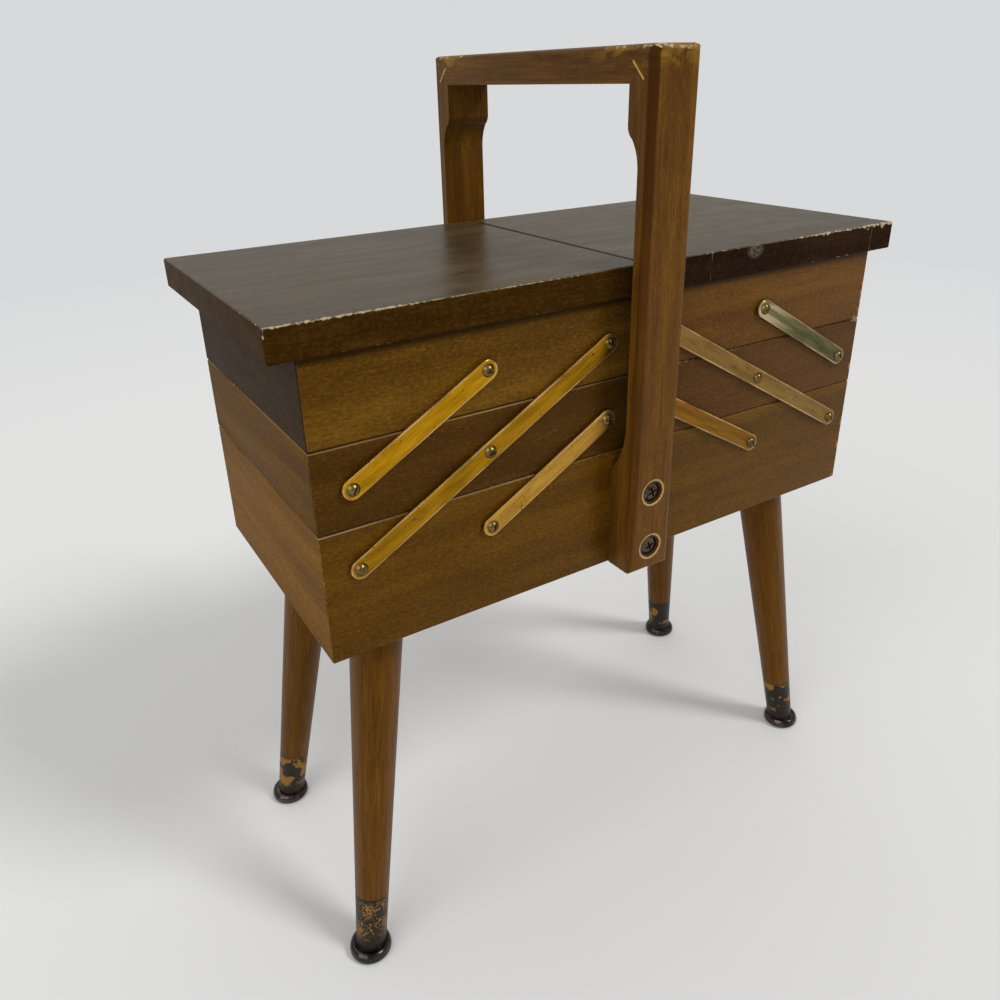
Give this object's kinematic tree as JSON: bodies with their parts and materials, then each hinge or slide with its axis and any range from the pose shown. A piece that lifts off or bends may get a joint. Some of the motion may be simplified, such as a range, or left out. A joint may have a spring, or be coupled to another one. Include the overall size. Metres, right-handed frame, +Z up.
{
  "type": "cantilever sewing box on legs",
  "caption": "Cantilever sewing box on splayed legs: trays swing out on brass links from both sides of a base box, each top tray has a hinged lid, and a fixed handle arches over the middle.",
  "frame": {"origin": "on the floor, under the middle of the box, halfway between the feet both ways", "axes": "+X along the box towards its right end, +Y from the front face to the back, +Z up"},
  "size_m": [0.4712, 0.2428, 0.587],
  "materials": {
    "wall_wood": "satin walnut stain",
    "end_wood": "satin walnut stain",
    "plywood": "bare sanded",
    "lid_wood": "dark satin lacquer, worn at the edges",
    "handle_wood": "satin walnut stain",
    "key_wood": "bare",
    "leg_wood": "satin walnut stain",
    "link_brass": "tarnished",
    "screw_metal": "antiqued",
    "hinge_metal": "tarnished",
    "steel": "dull",
    "foot_metal": "dark bronze, worn"
  },
  "bodies": {
    "carcass": {"base_front": "wall_wood", "base_back": "wall_wood", "base_end_left": "end_wood", "base_end_right": "end_wood", "base_bottom": "plywood", "handle_post_front": "handle_wood", "handle_post_back": "handle_wood", "handle_rail": "handle_wood", "mitre_keys": "key_wood", "handle_screws": "steel", "leg_front_left": "leg_wood", "leg_front_right": "leg_wood", "leg_back_left": "leg_wood", "leg_back_right": "leg_wood", "ferrules": "foot_metal", "glides": "foot_metal", "leg_plates": "steel", "plate_screws": "steel", "hanger_bolts": "steel", "pivot_screws_base": "screw_metal", "washers_base": "steel"},
    "middle_tray_left": {"middle_left_front": "wall_wood", "middle_left_back": "wall_wood", "middle_left_ends": "end_wood", "middle_left_bottom": "plywood", "pivot_screws_middle_left": "screw_metal", "washers_middle_left": "steel"},
    "top_tray_left": {"top_left_front": "wall_wood", "top_left_back": "wall_wood", "top_left_ends": "end_wood", "top_left_bottom": "plywood", "pivot_screws_top_left": "screw_metal", "washers_top_left": "steel", "hinge_tray_leaves_left": "hinge_metal", "hinge_pins_left": "hinge_metal"},
    "lid_left": {"lid_left": "lid_wood", "hinge_lid_leaves_left": "hinge_metal"},
    "long_links_left": {"long_links_left": "link_brass"},
    "lower_links_left": {"lower_links_left": "link_brass"},
    "upper_links_left": {"upper_links_left": "link_brass"},
    "middle_tray_right": {"middle_right_front": "wall_wood", "middle_right_back": "wall_wood", "middle_right_ends": "end_wood", "middle_right_bottom": "plywood", "pivot_screws_middle_right": "screw_metal", "washers_middle_right": "steel"},
    "top_tray_right": {"top_right_front": "wall_wood", "top_right_back": "wall_wood", "top_right_ends": "end_wood", "top_right_bottom": "plywood", "pivot_screws_top_right": "screw_metal", "washers_top_right": "steel", "hinge_tray_leaves_right": "hinge_metal", "hinge_pins_right": "hinge_metal"},
    "lid_right": {"lid_right": "lid_wood", "hinge_lid_leaves_right": "hinge_metal"},
    "long_links_right": {"long_links_right": "link_brass"},
    "lower_links_right": {"lower_links_right": "link_brass"},
    "upper_links_right": {"upper_links_right": "link_brass"}
  },
  "joints": [
    {"name": "left_trays_open", "type": "hinge", "parent": "carcass", "child": "long_links_left", "pos_m": [-0.198, 0, 0.323], "axis": [0, -1, 0], "range_deg": [0, 119.9]},
    {"name": "left_middle_tray_keeps_level", "type": "hinge", "parent": "long_links_left", "child": "middle_tray_left", "pos_m": [-0.1114, 0, 0.373], "axis": [0, -1, 0], "range_deg": [-119.9, 0]},
    {"name": "left_top_tray_keeps_level", "type": "hinge", "parent": "long_links_left", "child": "top_tray_left", "pos_m": [-0.02479, 0, 0.423], "axis": [0, -1, 0], "range_deg": [-119.9, 0]},
    {"name": "left_lower_links_turn", "type": "hinge", "parent": "carcass", "child": "lower_links_left", "pos_m": [-0.1114, 0, 0.323], "axis": [0, -1, 0], "range_deg": [0, 119.9]},
    {"name": "left_upper_links_turn", "type": "hinge", "parent": "middle_tray_left", "child": "upper_links_left", "pos_m": [-0.198, 0, 0.373], "axis": [0, -1, 0], "range_deg": [0, 119.9]},
    {"name": "left_lid_opens", "type": "hinge", "parent": "top_tray_left", "child": "lid_left", "pos_m": [-0.2222, 0, 0.45], "axis": [0, -1, 0], "range_deg": [0, 98]},
    {"name": "right_trays_open", "type": "hinge", "parent": "carcass", "child": "long_links_right", "pos_m": [0.198, 0, 0.323], "axis": [0, 1, 0], "range_deg": [0, 119.9]},
    {"name": "right_middle_tray_keeps_level", "type": "hinge", "parent": "long_links_right", "child": "middle_tray_right", "pos_m": [0.1114, 0, 0.373], "axis": [0, 1, 0], "range_deg": [-119.9, 0]},
    {"name": "right_top_tray_keeps_level", "type": "hinge", "parent": "long_links_right", "child": "top_tray_right", "pos_m": [0.02479, 0, 0.423], "axis": [0, 1, 0], "range_deg": [-119.9, 0]},
    {"name": "right_lower_links_turn", "type": "hinge", "parent": "carcass", "child": "lower_links_right", "pos_m": [0.1114, 0, 0.323], "axis": [0, 1, 0], "range_deg": [0, 119.9]},
    {"name": "right_upper_links_turn", "type": "hinge", "parent": "middle_tray_right", "child": "upper_links_right", "pos_m": [0.198, 0, 0.373], "axis": [0, 1, 0], "range_deg": [0, 119.9]},
    {"name": "right_lid_opens", "type": "hinge", "parent": "top_tray_right", "child": "lid_right", "pos_m": [0.2222, 0, 0.45], "axis": [0, 1, 0], "range_deg": [0, 98]}
  ],
  "couplings": [
    {"joint": "left_middle_tray_keeps_level", "follows": "left_trays_open", "ratio": -1},
    {"joint": "left_top_tray_keeps_level", "follows": "left_trays_open", "ratio": -1},
    {"joint": "left_lower_links_turn", "follows": "left_trays_open", "ratio": 1},
    {"joint": "left_upper_links_turn", "follows": "left_trays_open", "ratio": 1},
    {"joint": "right_middle_tray_keeps_level", "follows": "right_trays_open", "ratio": -1},
    {"joint": "right_top_tray_keeps_level", "follows": "right_trays_open", "ratio": -1},
    {"joint": "right_lower_links_turn", "follows": "right_trays_open", "ratio": 1},
    {"joint": "right_upper_links_turn", "follows": "right_trays_open", "ratio": 1}
  ]
}
